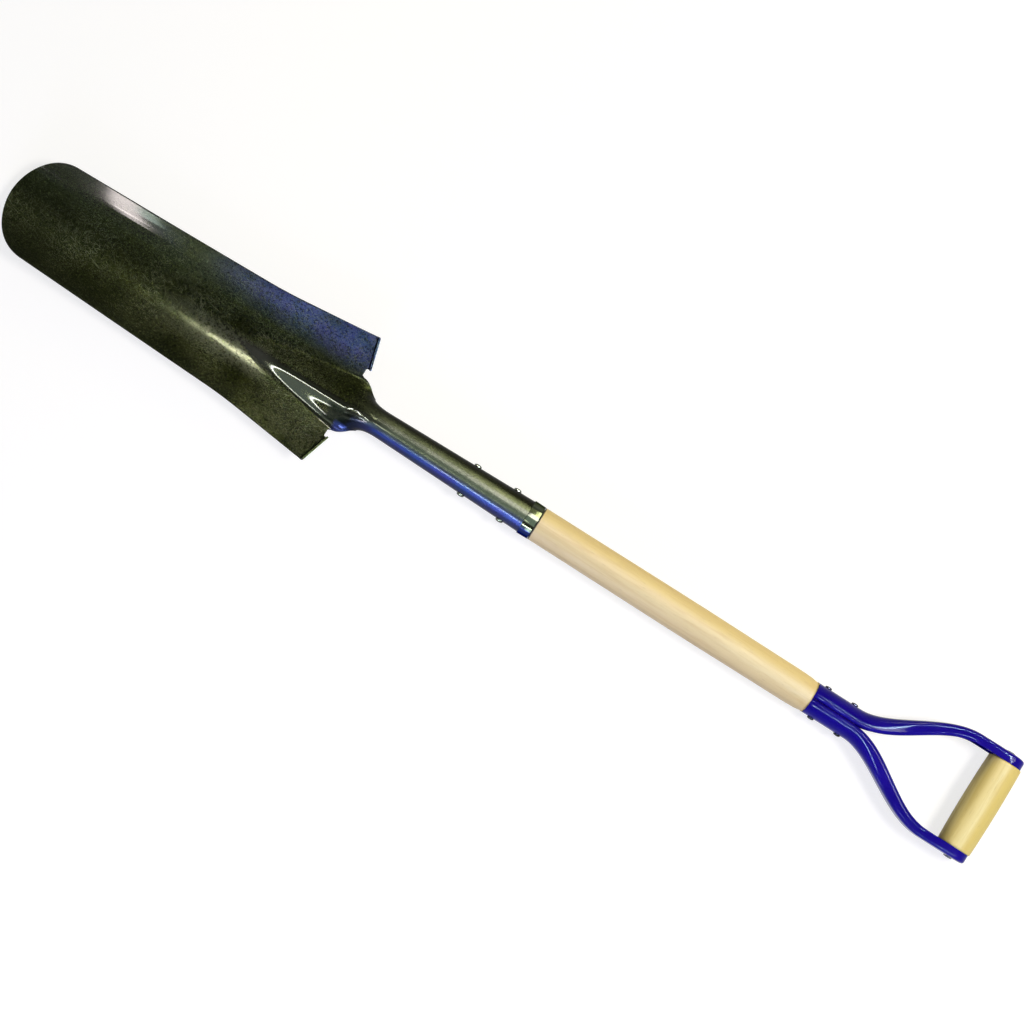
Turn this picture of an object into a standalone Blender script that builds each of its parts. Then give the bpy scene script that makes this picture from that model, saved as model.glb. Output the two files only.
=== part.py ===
"""A drain spade with a D-grip, lying on its back on the ground.

Every mesh is drawn in the tool's own measures: x is the distance from the blade's tip along the shaft, y runs
across the blade to the left, and z is the height above the shaft's axis. The empty named spade carries all the
pieces, so that the origin lies on the ground under the middle of the tool.
"""

from math import cos, pi, radians, sin, sqrt

import bmesh
import bpy
from mathutils import Vector

# Clearance between neighbouring pieces; every length is in metres
FIT_GAP = 0.0003

# Blade pan: outline, dish and long bow
BLADE_SHEET = 0.0020
TIP_DEPTH = 0.0516
TIP_HALF_WIDTH = 0.0545
PAN_TAPER = 0.0325
FLARE_AT = 0.299
FLARE_TAPER = 0.0850
FLARE_EASE = 0.0206
BELLY_AT = 0.230
BOW_RADIUS = 2.37
TROUGH_DEPTH = 0.021
SHOULDER_DEPTH = 0.015
TROUGH_POWER = 2.5
SHOULDER_POWER = 1.6

# Foot steps, turned forward along the shoulders, and the notch beside each
CORNER_AT = 0.4010
STEP_INNER_AT = 0.4100
STEP_INNER_Y = 0.0413
STEP_BEND = 0.0032
STEP_ANGLE = radians(75)
STEP_FLANGE = 0.0060
NOTCH_AT = 0.4092

# Frog: the hollow ridge that runs from the pan up into the socket
NOSE_AT = 0.294
NOSE_EASE = 0.012
FROG_SPREAD = 0.46
FROG_ROOT_AT = 0.4122
FROG_ROOT_Y = 0.0320
FROG_CROWN = 2.0

# Socket: a cone rolled from the same sheet, open along its back
NECK_AT = 0.457
NECK_RADIUS = 0.0146
SOCKET_END = 0.6430
MOUTH_RADIUS = 0.0183
SEAM_ANGLE = radians(172)

# Collar over the mouth of the socket
COLLAR_START = 0.6305
COLLAR_END = 0.6432
COLLAR_WALL = 0.0007

# Shaft
SHAFT_TIP_AT = 0.436
SHAFT_TIP_RADIUS = 0.0062
SHAFT_ROUND_AT = 0.442
SHAFT_ROUND_RADIUS = 0.0085
SHAFT_SHOULDER_AT = 0.6436
SHAFT_RADIUS = 0.01875
SHAFT_BULGE_AT = 0.830
SHAFT_BULGE_RADIUS = 0.0192
SHAFT_NECK_AT = 0.945
SHAFT_NECK_RADIUS = 0.0187
SHAFT_END_AT = 0.9777
SHAFT_END_RADIUS = 0.0177
TENON_RADIUS = 0.0154
TENON_END = 1.0290
TENON_CHAMFER = 0.0010
GROOVE_FLOOR = 0.0130
GROOVE_HALF_WIDTH = 0.0046

# Yoke: two stamped channel halves that make the D
YOKE_SHEET = 0.0018
YOKE_MOUTH = 0.9780
YOKE_RADIUS = 0.0175
YOKE_SPLIT = 0.0002
ARM_START = 1.0290
ARM_TAPER_AT = 1.0460
ARM_END = 1.1470
ARM_WAIST_AT = 1.0880
ARM_HALF_DEPTH = 0.0125
CUP_START = 1.1200
CUP_FULL_AT = 1.1740
CUP_RADIUS = 0.0172
CUP_OUTER_Y = 0.0623
CUP_INNER_Y = 0.0516
CUP_POWER = 6.0
LIP_LENGTH = 0.0044
LIP_CURL = radians(80)
LIP_FLAT_START = 1.1250
LIP_FLAT_AT = 1.1600

# Cross grip, and the dents that crimp the cups on to it
GRIP_AT = 1.1844
GRIP_RADIUS = 0.0194
GRIP_SHOULDER_RADIUS = 0.0185
GRIP_TENON_RADIUS = 0.0149
GRIP_CHAMFER = 0.0035
CRIMP_AT = 1.1858
CRIMP_RADIUS = 0.0032
CRIMP_DEPTH = 0.0007

# Rivets: places along the tool and sizes
SHANK_RADIUS = 0.0024
SOCKET_RIVETS = {"socket_rivet_lower": 0.5611, "socket_rivet_upper": 0.6091}
YOKE_RIVETS = {"yoke_rivet_lower": 0.9892, "yoke_rivet_upper": 1.0212}
SOCKET_HEAD = {"radius": 0.0042, "rise": 0.0017}
YOKE_HEAD = {"radius": 0.0038, "rise": 0.0013}
GRIP_HEAD = {"radius": 0.0048, "rise": 0.0007}
HEAD_RIM = 0.0005

# Fineness of the meshes
TIP_START_ANGLE = 30
TIP_ROWS = 7
PAN_ROWS = 8
FROG_ROWS = 11
LAST_PAN_ROW = 0.393
THROAT_COLUMNS = 12
NOTCH_COLUMNS = 2
WING_COLUMNS = 4
STEP_ROWS = 3
THROAT_ROWS = 6
SOCKET_ROWS = 5
TURNED_SIDES = 28
RIVET_SIDES = 16
DOME_RINGS = 3
DOME_START = 0.35
BARREL_RINGS = 6
YOKE_SOCKET_ROWS = 3
YOKE_ARM_ROWS = 13
YOKE_CUP_ROWS = 4
YOKE_END_ROWS = 10
PROFILE_STEPS = 6
LIP_STEPS = 2
SHARP_ANGLE = radians(38)
MERGE_DISTANCE = 0.00001
CUTTER_REACH = 0.08

# Finishes: linear colour, metallic value and roughness
LACQUERED_STEEL = ((0.030, 0.034, 0.018), 0.85, 0.34)
BRIGHT_STEEL = ((0.36, 0.36, 0.33), 1.0, 0.32)
ASH = ((0.79, 0.63, 0.36), 0.0, 0.48)
GRIP_WOOD = ((0.78, 0.62, 0.30), 0.0, 0.45)
BLUE_PAINT = ((0.018, 0.008, 0.235), 0.0, 0.22)
PAINTED_RIVET = ((0.020, 0.016, 0.110), 0.3, 0.30)

AXIS_HEIGHT = GRIP_RADIUS
OVERALL_LENGTH = GRIP_AT + GRIP_RADIUS


def mix(start, end, share):
    """Value at a share of the way from start to end."""
    return start + (end - start) * share


def share_between(value, start, end):
    """How far a value lies from start to end, held to 0 and 1."""
    return min(1.0, max(0.0, (value - start) / (end - start)))


def ease(value, start, end):
    """Like share_between, but leaving 0 and reaching 1 smoothly."""
    share = share_between(value, start, end)
    return share * share * (3.0 - 2.0 * share)


def soft_ramp(value, reach):
    """0 below -reach, value above +reach, and a parabola between."""
    if value <= -reach:
        return 0.0
    if value >= reach:
        return value
    return (value + reach) ** 2 / (4.0 * reach)


def clear_scene():
    """Remove whatever the scene holds."""
    for item in list(bpy.data.objects):
        bpy.data.objects.remove(item, do_unlink=True)


def make_finish(name, finish):
    """A Principled material of one piece."""
    colour, metallic, roughness = finish
    result = bpy.data.materials.new(name + "_finish")
    result.use_nodes = True
    shader = result.node_tree.nodes["Principled BSDF"]
    shader.inputs["Base Color"].default_value = (*colour, 1.0)
    shader.inputs["Metallic"].default_value = metallic
    shader.inputs["Roughness"].default_value = roughness
    return result


def add_piece(name, shape, carrier, finish=None):
    """Turn a bmesh into an object carried by the tool's empty."""
    bmesh.ops.recalc_face_normals(shape, faces=shape.faces)
    mesh = bpy.data.meshes.new(name)
    shape.to_mesh(mesh)
    shape.free()
    mesh.shade_smooth()
    mesh.set_sharp_from_angle(angle=SHARP_ANGLE)
    piece = bpy.data.objects.new(name, mesh)
    bpy.context.collection.objects.link(piece)
    piece.parent = carrier
    if finish:
        mesh.materials.append(make_finish(name, finish))
    return piece


def add_cutter(name, shape, carrier):
    """A shape that only cuts others."""
    cutter = add_piece(name, shape, carrier)
    cutter.hide_render = True
    cutter.display_type = 'WIRE'
    return cutter


def cut(piece, cutter):
    """Take a cutter's shape out of a piece."""
    step = piece.modifiers.new("cut_" + cutter.name, 'BOOLEAN')
    step.operation = 'DIFFERENCE'
    step.solver = 'EXACT'
    step.object = cutter


def thicken(piece, thickness):
    """Give a sheet its thickness, half to each side."""
    step = piece.modifiers.new("sheet", 'SOLIDIFY')
    step.thickness = thickness
    step.offset = 0.0
    step.use_even_offset = True
    step.use_quality_normals = True


def sheet_shape(points):
    """Faces over a grid of points, keyed by row and column, wherever four neighbours exist."""
    shape = bmesh.new()
    corners = {place: shape.verts.new(point) for place, point in points.items()}
    for row, column in points:
        square = [(row, column), (row + 1, column), (row + 1, column + 1), (row, column + 1)]
        if all(place in corners for place in square):
            shape.faces.new([corners[place] for place in square])
    return shape


def lofted_shape(rings, looped=False):
    """Skin over rings of points, with its ends capped, or joined to each other when looped."""
    shape = bmesh.new()
    loops = [[shape.verts.new(point) for point in ring] for ring in rings]
    pairs = list(zip(loops, loops[1:]))
    if looped:
        pairs.append((loops[-1], loops[0]))
    for near, far in pairs:
        for side in range(len(near)):
            following = (side + 1) % len(near)
            shape.faces.new((near[side], near[following], far[following], far[side]))
    if not looped:
        shape.faces.new(loops[0])
        shape.faces.new(loops[-1])
    return shape


def ring_round_x(along, radius, sides=TURNED_SIDES):
    """A circle of points about the shaft's axis."""
    angles = [2.0 * pi * side / sides for side in range(sides)]
    return [Vector((along, radius * cos(angle), radius * sin(angle))) for angle in angles]


def ring_round_y(along, across, radius, sides):
    """A circle of points about a line across the tool."""
    angles = [2.0 * pi * side / sides for side in range(sides)]
    return [Vector((along + radius * cos(angle), across, radius * sin(angle))) for angle in angles]


def rivet_hole(name, along, carrier):
    """Cutter for a rivet's hole across the tool."""
    radius = SHANK_RADIUS + FIT_GAP
    rings = [ring_round_y(along, across, radius, RIVET_SIDES) for across in (-CUTTER_REACH, CUTTER_REACH)]
    return add_cutter(name, lofted_shape(rings), carrier)


def trough_half_width(along):
    """Half-width of the dish, as if the tip weren't rounded."""
    flare = FLARE_TAPER * soft_ramp(along - FLARE_AT, FLARE_EASE)
    return TIP_HALF_WIDTH + PAN_TAPER * max(0.0, along - TIP_DEPTH) + flare


def outline_half_width(along):
    """Half-width of the blade, with its half-elliptic tip."""
    if along >= TIP_DEPTH:
        return trough_half_width(along)
    return TIP_HALF_WIDTH * sqrt(1.0 - (1.0 - along / TIP_DEPTH) ** 2)


def bow_height(along):
    """Height of the dish's middle line, whose belly rests on the ground."""
    lowest = BLADE_SHEET / 2.0 - AXIS_HEIGHT
    return lowest + (along - BELLY_AT) ** 2 / (2.0 * BOW_RADIUS)


def frog_height(along, across):
    """Height of the frog above the dish: a straight ridge from the nose up to the neck, with hollow flanks."""
    toe = NOSE_AT - NOSE_EASE
    if along <= toe:
        return 0.0
    slope = (NECK_RADIUS - BLADE_SHEET / 2.0 - bow_height(NECK_AT)) / (NECK_AT - NOSE_AT)
    rise = slope * soft_ramp(along - NOSE_AT, NOSE_EASE)
    half_width = FROG_ROOT_Y * share_between(along, toe, FROG_ROOT_AT) ** FROG_SPREAD
    return rise * max(0.0, 1.0 - (across / half_width) ** 2) ** FROG_CROWN


def pan_height(along, across):
    """Height of the middle of the blade's sheet."""
    towards_shoulder = ease(along, NOSE_AT, CORNER_AT)
    depth = mix(TROUGH_DEPTH, SHOULDER_DEPTH, towards_shoulder)
    power = mix(TROUGH_POWER, SHOULDER_POWER, towards_shoulder)
    dish = depth * (abs(across) / trough_half_width(along)) ** power
    return bow_height(along) + dish + frog_height(along, across)


def socket_radius(along):
    """Outer radius of the socket."""
    return mix(NECK_RADIUS, MOUTH_RADIUS, (along - NECK_AT) / (SOCKET_END - NECK_AT))


def throat_point(along, turn):
    """Point of the frog's throat and the socket, with turn from 0 on the ridge to 1 at the back seam."""
    radius = socket_radius(along) - BLADE_SHEET / 2.0
    angle = SEAM_ANGLE * turn
    rolled = Vector((along, radius * sin(angle), radius * cos(angle)))
    across = FROG_ROOT_Y * turn
    spread = Vector((along, across, pan_height(along, across)))
    return spread.lerp(rolled, ease(along, FROG_ROOT_AT, NECK_AT))


def pan_stations():
    """Rows of the pan: where each meets the blade's edge, and how far its middle bows towards the tip."""
    start = radians(TIP_START_ANGLE)
    full_bow = TIP_DEPTH * (1.0 - cos(start))
    stations = []
    for row in range(TIP_ROWS + 1):
        share = row / TIP_ROWS
        angle = mix(start, pi / 2.0, share)
        stations.append((TIP_DEPTH * (1.0 - cos(angle)), full_bow * (1.0 - share)))
    for row in range(1, PAN_ROWS + 1):
        stations.append((mix(TIP_DEPTH, NOSE_AT, row / PAN_ROWS), 0.0))
    for row in range(1, FROG_ROWS + 1):
        stations.append((mix(NOSE_AT, LAST_PAN_ROW, row / FROG_ROWS), 0.0))
    return stations


def step_frame():
    """Ends of the left shoulder's line, the way out of the pan there, and the way up."""
    corner_y = trough_half_width(CORNER_AT)
    inner = Vector((STEP_INNER_AT, STEP_INNER_Y, pan_height(STEP_INNER_AT, STEP_INNER_Y)))
    corner = Vector((CORNER_AT, corner_y, pan_height(CORNER_AT, corner_y)))
    line = (corner - inner).normalized()
    outward = (Vector((1.0, 0.0, 0.0)) - line * line.x).normalized()
    upward = outward.cross(line).normalized()
    return inner, corner, outward, upward


def build_blade(carrier, holes):
    """Pan, steps, frog and socket as one sheet."""
    inner, corner, outward, upward = step_frame()
    throat = [FROG_ROOT_Y * column / THROAT_COLUMNS for column in range(THROAT_COLUMNS + 1)]
    gap = NOTCH_COLUMNS + 1
    notch = [mix(FROG_ROOT_Y, inner.y, column / gap) for column in range(1, gap)]
    wing = [mix(inner.y, corner.y, column / WING_COLUMNS) for column in range(WING_COLUMNS + 1)]
    columns = throat + notch + wing
    points = {}

    def put(row, column, point):
        points[row, column] = point
        points[row, -column] = Vector((point.x, -point.y, point.z))

    stations = pan_stations()
    for row, (edge, bow) in enumerate(stations):
        for column, place in enumerate(columns):
            share = place / corner.y
            along = edge - bow * (1.0 - share * share)
            across = outline_half_width(edge) * share
            put(row, column, Vector((along, across, pan_height(along, across))))

    shoulder = len(stations)
    for column, across in enumerate(columns):
        if column < len(throat):
            put(shoulder, column, throat_point(FROG_ROOT_AT, column / THROAT_COLUMNS))
        elif column < len(throat) + len(notch):
            put(shoulder, column, Vector((NOTCH_AT, across, pan_height(NOTCH_AT, across))))
        else:
            base = inner.lerp(corner, share_between(across, inner.y, corner.y))
            put(shoulder, column, base)
            for row in range(1, STEP_ROWS + 1):
                angle = STEP_ANGLE * row / STEP_ROWS
                bend = outward * sin(angle) + upward * (1.0 - cos(angle))
                put(shoulder + row, column, base + bend * STEP_BEND)
            flange = outward * cos(STEP_ANGLE) + upward * sin(STEP_ANGLE)
            put(shoulder + STEP_ROWS + 1, column, base + bend * STEP_BEND + flange * STEP_FLANGE)

    rolled = [mix(FROG_ROOT_AT, NECK_AT, row / THROAT_ROWS) for row in range(1, THROAT_ROWS + 1)]
    rolled += [mix(NECK_AT, SOCKET_END, row / SOCKET_ROWS) for row in range(1, SOCKET_ROWS + 1)]
    for row, along in enumerate(rolled):
        for column in range(THROAT_COLUMNS + 1):
            put(shoulder + 1 + row, column, throat_point(along, column / THROAT_COLUMNS))

    blade = add_piece("blade", sheet_shape(points), carrier, LACQUERED_STEEL)
    thicken(blade, BLADE_SHEET)
    for hole in holes:
        cut(blade, hole)


def build_collar(carrier):
    """Ring over the mouth of the socket, tapered with it inside."""
    radius_in = [socket_radius(along) + FIT_GAP for along in (COLLAR_START, COLLAR_END)]
    radius_out = radius_in[1] + COLLAR_WALL
    rings = [
        ring_round_x(COLLAR_START, radius_in[0]),
        ring_round_x(COLLAR_START, radius_out),
        ring_round_x(COLLAR_END, radius_out),
        ring_round_x(COLLAR_END, radius_in[1]),
    ]
    add_piece("socket_collar", lofted_shape(rings, looped=True), carrier, BRIGHT_STEEL)


def build_shaft(carrier, holes):
    """Turned shaft with a tenon at each end, grooved where the yoke's lips press into it."""
    wall = BLADE_SHEET + FIT_GAP
    profile = [
        (SHAFT_TIP_AT, SHAFT_TIP_RADIUS),
        (SHAFT_ROUND_AT, SHAFT_ROUND_RADIUS),
        (NECK_AT, socket_radius(NECK_AT) - wall),
        (SHAFT_SHOULDER_AT, socket_radius(SHAFT_SHOULDER_AT) - wall),
        (SHAFT_SHOULDER_AT, SHAFT_RADIUS),
        (SHAFT_BULGE_AT, SHAFT_BULGE_RADIUS),
        (SHAFT_NECK_AT, SHAFT_NECK_RADIUS),
        (SHAFT_END_AT, SHAFT_END_RADIUS),
        (SHAFT_END_AT, TENON_RADIUS),
        (TENON_END - TENON_CHAMFER, TENON_RADIUS),
        (TENON_END, TENON_RADIUS - TENON_CHAMFER),
    ]
    rings = [ring_round_x(along, radius) for along, radius in profile]
    shaft = add_piece("shaft", lofted_shape(rings), carrier, ASH)
    for side in (-1.0, 1.0):
        groove = bmesh.new()
        bmesh.ops.create_cube(groove, size=2.0)
        half_length = (TENON_END - SHAFT_END_AT) / 2.0 + FIT_GAP
        half_height = (TENON_RADIUS - GROOVE_FLOOR) / 2.0 + FIT_GAP
        bmesh.ops.scale(groove, vec=(half_length, GROOVE_HALF_WIDTH, half_height), verts=groove.verts)
        middle = ((SHAFT_END_AT + TENON_END) / 2.0, 0.0, side * (GROOVE_FLOOR + half_height))
        bmesh.ops.translate(groove, vec=middle, verts=groove.verts)
        cut(shaft, add_cutter("groove_front" if side > 0 else "groove_back", groove, carrier))
    for hole in holes:
        cut(shaft, hole)


def arm_half_depth(along):
    """Half the depth of the yoke's channel, front to back, in the middle of its sheet."""
    thinner = ease(along, ARM_START, ARM_WAIST_AT)
    wider = ease(along, CUP_START, CUP_FULL_AT)
    waist = mix(YOKE_RADIUS - YOKE_SHEET / 2.0, ARM_HALF_DEPTH, thinner)
    return mix(waist, CUP_RADIUS - YOKE_SHEET / 2.0, wider)


def half_profile(along, width):
    """Front half of the channel's section: distance out from the lip's edge, and height."""
    power = mix(2.0, CUP_POWER, ease(along, ARM_START, CUP_START))
    curl = LIP_CURL * (1.0 - ease(along, LIP_FLAT_START, LIP_FLAT_AT))
    depth = arm_half_depth(along)
    step = LIP_LENGTH / LIP_STEPS
    bends = [curl * (count + 0.5) / LIP_STEPS for count in range(LIP_STEPS)]
    reach = sum(step * cos(bend) for bend in bends)
    flange = width - reach
    section = []
    for count in range(PROFILE_STEPS + 1):
        angle = pi / 2.0 * count / PROFILE_STEPS
        out = max(0.0, cos(angle)) ** (2.0 / power)
        section.append((reach + flange * out, depth * sin(angle) ** (2.0 / power)))
    for bend in bends:
        out, height = section[-1]
        section.append((out - step * cos(bend), height - step * sin(bend)))
    return section


def arm_section(along):
    """Left arm's section at a station: middle point, outward direction and front half profile."""
    lip_edge = YOKE_SHEET / 2.0 + YOKE_SPLIT
    socket_width = YOKE_RADIUS - YOKE_SHEET / 2.0 - lip_edge
    cup_width = CUP_OUTER_Y - YOKE_SHEET / 2.0 - CUP_INNER_Y
    width = mix(socket_width, cup_width, ease(along, ARM_TAPER_AT, ARM_END))
    near = lip_edge + socket_width / 2.0
    far = CUP_INNER_Y + cup_width / 2.0
    share = share_between(along, ARM_START, ARM_END)
    across = mix(near, far, ease(along, ARM_START, ARM_END))
    slope = 6.0 * share * (1.0 - share) * (far - near) / (ARM_END - ARM_START)
    outward = Vector((-slope, 1.0, 0.0)).normalized()
    middle = Vector((along, across, 0.0)) - outward * (width / 2.0)
    return middle, outward, half_profile(along, width)


def yoke_stations():
    """Stations of the yoke's rows, from its mouth to the grip's axis."""
    spans = (
        (YOKE_MOUTH, ARM_START, YOKE_SOCKET_ROWS),
        (ARM_START, ARM_END, YOKE_ARM_ROWS),
        (ARM_END, GRIP_AT, YOKE_CUP_ROWS),
    )
    stations = [YOKE_MOUTH]
    for start, end, count in spans:
        stations += [mix(start, end, row / count) for row in range(1, count + 1)]
    return stations


def crimp_dent(name, side, carrier):
    """Cutter for the dent in the front of a cup."""
    across = side * (CUP_INNER_Y + CUP_OUTER_Y) / 2.0
    dent = bmesh.new()
    bmesh.ops.create_icosphere(dent, subdivisions=2, radius=CRIMP_RADIUS)
    centre = (CRIMP_AT, across, CUP_RADIUS - CRIMP_DEPTH + CRIMP_RADIUS)
    bmesh.ops.translate(dent, vec=centre, verts=dent.verts)
    return add_cutter(name, dent, carrier)


def build_yoke(name, side, carrier, holes):
    """One half of the D: half socket, curved arm, and a cup round the grip's end."""
    stations = yoke_stations()
    rows = []
    for along in stations:
        middle, outward, section = arm_section(along)
        rows.append([middle + outward * out + Vector((0.0, 0.0, height)) for out, height in section])
    back = [[Vector((point.x, point.y, -point.z)) for point in row] for row in reversed(rows)]
    middle, outward, section = arm_section(GRIP_AT)
    for row in range(1, YOKE_END_ROWS):
        angle = pi / 2.0 - pi * row / YOKE_END_ROWS
        turn = Vector((cos(angle), 0.0, sin(angle)))
        rows.append([middle + outward * out + turn * height for out, height in section])
    points = {}
    for row, line in enumerate(rows + back):
        for column, point in enumerate(line):
            points[row, column] = Vector((point.x, side * point.y, point.z))
    shape = sheet_shape(points)
    bmesh.ops.remove_doubles(shape, verts=shape.verts, dist=MERGE_DISTANCE)
    yoke = add_piece(name, shape, carrier, BLUE_PAINT)
    thicken(yoke, YOKE_SHEET)
    for hole in holes + [crimp_dent("crimp_" + name, side, carrier)]:
        cut(yoke, hole)


def rivet_shape(along, surface, head):
    """Rivet across the tool, whose domed heads sit on the surface given by its half-width at (x, z)."""
    def head_rings(side):
        rings = []
        base = surface(along, 0.0) + FIT_GAP + HEAD_RIM
        for count in range(DOME_RINGS + 1):
            tilt = pi / 2.0 * (count + DOME_START) / (DOME_RINGS + DOME_START)
            radius = head["radius"] * sin(tilt)
            rings.append(ring_round_y(along, side * (base + head["rise"] * cos(tilt)), radius, RIVET_SIDES))
        for radius in (head["radius"], SHANK_RADIUS):
            ring = ring_round_y(along, 0.0, radius, RIVET_SIDES)
            for point in ring:
                point.y = side * (surface(point.x, point.z) + FIT_GAP)
            rings.append(ring)
        return rings

    return lofted_shape(head_rings(1.0) + head_rings(-1.0)[::-1])


def socket_side(along, height):
    """Half-width of the socket's outside."""
    return sqrt(socket_radius(along) ** 2 - height ** 2)


def yoke_side(along, height):
    """Half-width of the yoke's round socket."""
    return sqrt(YOKE_RADIUS ** 2 - height ** 2)


def cup_side(along, height):
    """Half-width over the flat ends of the cups."""
    return CUP_OUTER_Y


def build_grip(carrier):
    """Barrel-shaped cross grip with a tenon in each cup, bored for its rivet."""
    half_length = CUP_OUTER_Y - YOKE_SHEET - FIT_GAP
    shoulder = CUP_INNER_Y - FIT_GAP
    bore = SHANK_RADIUS + FIT_GAP
    tenon = [
        (-half_length, bore),
        (-half_length, GRIP_TENON_RADIUS - GRIP_CHAMFER),
        (GRIP_CHAMFER - half_length, GRIP_TENON_RADIUS),
        (-shoulder, GRIP_TENON_RADIUS),
    ]
    barrel = []
    for count in range(BARREL_RINGS + 1):
        share = 2.0 * count / BARREL_RINGS - 1.0
        barrel.append((shoulder * share, mix(GRIP_RADIUS, GRIP_SHOULDER_RADIUS, share * share)))
    other_tenon = [(-across, radius) for across, radius in reversed(tenon)]
    profile = tenon + barrel + other_tenon
    rings = [ring_round_y(GRIP_AT, across, radius, TURNED_SIDES) for across, radius in profile]
    add_piece("grip", lofted_shape(rings, looped=True), carrier, GRIP_WOOD)


def main():
    """Build the whole spade."""
    clear_scene()
    spade = bpy.data.objects.new("spade", None)
    spade.location = (-OVERALL_LENGTH / 2.0, 0.0, AXIS_HEIGHT)
    bpy.context.collection.objects.link(spade)

    socket_holes = [rivet_hole("hole_" + name, along, spade) for name, along in SOCKET_RIVETS.items()]
    yoke_holes = [rivet_hole("hole_" + name, along, spade) for name, along in YOKE_RIVETS.items()]
    grip_hole = rivet_hole("hole_grip_rivet", GRIP_AT, spade)

    build_blade(spade, socket_holes)
    build_collar(spade)
    build_shaft(spade, socket_holes + yoke_holes)
    build_yoke("yoke_left", 1.0, spade, yoke_holes + [grip_hole])
    build_yoke("yoke_right", -1.0, spade, yoke_holes + [grip_hole])
    build_grip(spade)
    for name, along in SOCKET_RIVETS.items():
        add_piece(name, rivet_shape(along, socket_side, SOCKET_HEAD), spade, BRIGHT_STEEL)
    for name, along in YOKE_RIVETS.items():
        add_piece(name, rivet_shape(along, yoke_side, YOKE_HEAD), spade, PAINTED_RIVET)
    add_piece("grip_rivet", rivet_shape(GRIP_AT, cup_side, GRIP_HEAD), spade, PAINTED_RIVET)


main()
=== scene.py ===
"""Looks of the drain spade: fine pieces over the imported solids, procedural finishes, studio and camera.

Every piece is drawn in the tool's own measures, in metres: x is the distance from the blade's tip along the
shaft, y runs across the blade to the left, and z is the height above the shaft's axis.
"""

from math import cos, exp, pi, radians, sin, sqrt

import bmesh
import bpy
from mathutils import Matrix, Vector


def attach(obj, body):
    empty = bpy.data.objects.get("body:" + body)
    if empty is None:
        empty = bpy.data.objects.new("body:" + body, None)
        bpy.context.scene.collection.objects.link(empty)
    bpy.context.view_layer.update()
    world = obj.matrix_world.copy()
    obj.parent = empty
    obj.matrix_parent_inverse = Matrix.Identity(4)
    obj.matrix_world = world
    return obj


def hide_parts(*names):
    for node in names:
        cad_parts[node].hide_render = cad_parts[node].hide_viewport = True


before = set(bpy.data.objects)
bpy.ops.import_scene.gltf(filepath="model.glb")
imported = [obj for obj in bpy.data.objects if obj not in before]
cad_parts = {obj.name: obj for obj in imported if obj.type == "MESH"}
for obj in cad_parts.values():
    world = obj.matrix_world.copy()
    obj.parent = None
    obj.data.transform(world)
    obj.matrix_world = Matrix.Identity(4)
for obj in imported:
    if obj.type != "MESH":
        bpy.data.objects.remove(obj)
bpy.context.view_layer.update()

# Places shared with the solids
TOOL_ORIGIN = (-0.6019, 0.0, 0.0194)
FIT_GAP = 0.0003

# Blade pan: outline, dish and long bow
BLADE_SHEET = 0.0020
TIP_DEPTH = 0.0516
TIP_HALF_WIDTH = 0.0545
PAN_TAPER = 0.0325
FLARE_AT = 0.299
FLARE_TAPER = 0.0850
FLARE_EASE = 0.0206
BELLY_AT = 0.230
BELLY_HEIGHT = -0.0184
BOW_RADIUS = 2.37
TROUGH_DEPTH = 0.021
SHOULDER_DEPTH = 0.015
TROUGH_POWER = 2.5
SHOULDER_POWER = 1.6

# Foot steps and the notch beside each
CORNER_AT = 0.4010
STEP_INNER_AT = 0.4100
STEP_INNER_Y = 0.0413
STEP_BEND = 0.0032
STEP_ANGLE = radians(75)
STEP_FLANGE = 0.0060
NOTCH_AT = 0.4092

# Frog: the hollow ridge that runs from the pan up into the socket
NOSE_AT = 0.294
NOSE_EASE = 0.012
FROG_SPREAD = 0.46
FROG_ROOT_AT = 0.4122
FROG_ROOT_Y = 0.0320
FROG_CROWN = 2.0

# Socket and collar
NECK_AT = 0.457
NECK_RADIUS = 0.0146
SOCKET_END = 0.6430
MOUTH_RADIUS = 0.0183
SEAM_ANGLE = radians(172)
COLLAR_START = 0.6305
COLLAR_END = 0.6432
COLLAR_RADIUS = 0.0193
COLLAR_ROUND = 0.0004

# Shaft
SHAFT_TIP_AT = 0.436
SHAFT_TIP_RADIUS = 0.0062
SHAFT_ROUND_AT = 0.442
SHAFT_ROUND_RADIUS = 0.0085
SHAFT_SHOULDER_AT = 0.6436
SHAFT_RADIUS = 0.01875
SHAFT_BULGE_AT = 0.830
SHAFT_BULGE_RADIUS = 0.0192
SHAFT_NECK_AT = 0.945
SHAFT_NECK_RADIUS = 0.0187
SHAFT_END_AT = 0.9777
SHAFT_END_RADIUS = 0.0177
SHAFT_ROUNDING = 0.0008
JOINT_LINE = 0.0016
TENON_RADIUS = 0.0130
TENON_END = 1.0290

# Yoke
YOKE_SHEET = 0.0018
YOKE_MOUTH = 0.9780
YOKE_RADIUS = 0.0175
YOKE_SPLIT = 0.00003
ARM_START = 1.0290
ARM_TAPER_AT = 1.0460
ARM_END = 1.1470
ARM_WAIST_AT = 1.0880
ARM_HALF_DEPTH = 0.0125
CUP_START = 1.1200
CUP_FULL_AT = 1.1740
CUP_RADIUS = 0.0172
CUP_OUTER_Y = 0.0623
CUP_INNER_Y = 0.0516
CUP_POWER = 6.0
LIP_LENGTH = 0.0044
LIP_CURL = radians(80)
LIP_FLAT_START = 1.1250
LIP_FLAT_AT = 1.1600
CRIMP_AT = 1.1858
CRIMP_RADIUS = 0.0016
CRIMP_DEPTH = 0.0006

# Cross grip
GRIP_AT = 1.1844
GRIP_RADIUS = 0.0194
GRIP_SHOULDER_RADIUS = 0.0185
GRIP_ROUNDING = 0.0012
GRIP_TENON_RADIUS = 0.0149
GRIP_CHAMFER = 0.0035

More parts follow.
